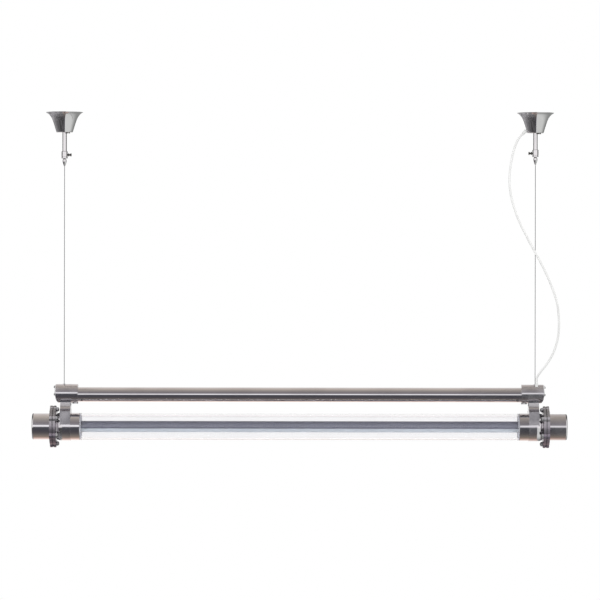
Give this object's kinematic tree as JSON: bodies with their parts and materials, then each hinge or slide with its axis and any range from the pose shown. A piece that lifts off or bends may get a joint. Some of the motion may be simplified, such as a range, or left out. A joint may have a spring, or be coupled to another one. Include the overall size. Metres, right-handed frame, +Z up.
{
  "type": "pendant light",
  "caption": "Straight lamp in a clear acrylic tube with flanged metal ends, hung from a carrier tube on two wires with bell canopies.",
  "frame": {"origin": "on the ceiling plane, midway between the two canopies and at the centre of their four screw holes", "axes": "+X along the lamp to the picture's right, -Y towards the viewer, +Z up out of the ceiling face"},
  "size_m": [1.2346, 0.087, 0.7743],
  "materials": {
    "polished_nickel": "polished nickel plate",
    "dark_screws": "blackened steel",
    "zinc_steel": "zinc plate, satin",
    "wire_rope": "stranded, satin",
    "lamp_aluminium": "anodised, satin",
    "lamp_milky": "milky, satin",
    "clear_acrylic": "clear, polished",
    "clear_seal": "translucent silicone",
    "black_rubber": "matt",
    "white_plastic": "satin",
    "board": "white solder mask",
    "pale_cord": "satin PVC"
  },
  "bodies": {
    "ceiling": {"ceiling_strap_left": "zinc_steel", "ceiling_strap_right": "zinc_steel", "stem_left": "polished_nickel", "stem_right": "polished_nickel", "stem_nuts": "zinc_steel", "supply_terminal": "white_plastic", "wire_clamp_left": "polished_nickel", "wire_clamp_right": "polished_nickel", "wire_guide_left": "polished_nickel", "wire_guide_right": "polished_nickel", "wire_tails": "wire_rope", "power_cord": "pale_cord"},
    "left_canopy": {"canopy_left": "polished_nickel", "canopy_grip_left": "black_rubber", "canopy_screws_left": "dark_screws"},
    "right_canopy": {"canopy_right": "polished_nickel", "canopy_grip_right": "black_rubber", "canopy_screws_right": "dark_screws", "canopy_cord_relief": "pale_cord"},
    "left_thumbscrew": {"thumbscrew_left": "dark_screws"},
    "right_thumbscrew": {"thumbscrew_right": "dark_screws"},
    "wires": {"suspension_wire_left": "wire_rope", "suspension_wire_right": "wire_rope"},
    "lamp": {"lamp_back": "lamp_aluminium", "lamp_diffuser": "lamp_milky", "lamp_board": "board", "lamp_bases": "zinc_steel", "lamp_pins": "polished_nickel", "holder_rotor_left": "white_plastic", "holder_rotor_right": "white_plastic"},
    "fixture": {"carrier_tube": "polished_nickel", "end_bracket_left": "polished_nickel", "end_bracket_right": "polished_nickel", "collar_cover_left": "zinc_steel", "collar_cover_right": "zinc_steel", "cover_screws": "dark_screws", "tube_set_screws": "dark_screws", "wire_anchors": "zinc_steel", "collar_cord_relief": "pale_cord", "cord_tail": "pale_cord", "lead_terminal": "white_plastic", "lead_left": "black_rubber", "lead_right": "black_rubber", "gland_sleeve_left": "polished_nickel", "gland_sleeve_right": "polished_nickel", "gland_seals": "clear_seal", "flange_gaskets": "black_rubber", "end_cap_left": "polished_nickel", "end_cap_right": "polished_nickel", "flange_bolts": "dark_screws", "flange_nuts": "zinc_steel", "acrylic_tube": "clear_acrylic", "lampholder_left": "white_plastic", "lampholder_right": "white_plastic", "holder_screws": "zinc_steel"}
  },
  "joints": [
    {"name": "canopy_left_drop", "type": "slide", "parent": "ceiling", "child": "left_canopy", "axis": [0, 0, 1], "range_m": [-0.038, 0]},
    {"name": "canopy_right_drop", "type": "slide", "parent": "ceiling", "child": "right_canopy", "axis": [0, 0, 1], "range_m": [-0.033, 0], "deforming": ["power_cord"]},
    {"name": "thumbscrew_left_turn", "type": "hinge", "parent": "ceiling", "child": "left_thumbscrew", "pos_m": [-0.544, 0, -0.0985], "axis": [1, 0, 0], "range_deg": [0, 180]},
    {"name": "thumbscrew_right_turn", "type": "hinge", "parent": "ceiling", "child": "right_thumbscrew", "pos_m": [0.544, 0, -0.0935], "axis": [1, 0, 0], "range_deg": [-180, 0]},
    {"name": "swing", "type": "hinge", "parent": "ceiling", "child": "wires", "pos_m": [-0.544, 0, -0.125], "axis": [1, 0, 0.0046], "range_deg": [-15, 15], "deforming": ["power_cord"]},
    {"name": "height", "type": "slide", "parent": "wires", "child": "fixture", "axis": [0, 0, 1], "range_m": [-0.04, 0.1], "deforming": ["power_cord", "suspension_wire_left", "suspension_wire_right"]},
    {"name": "lamp_turn", "type": "hinge", "parent": "fixture", "child": "lamp", "pos_m": [0, 0, -0.726], "axis": [1, 0, 0], "range_deg": [0, 90]}
  ]
}
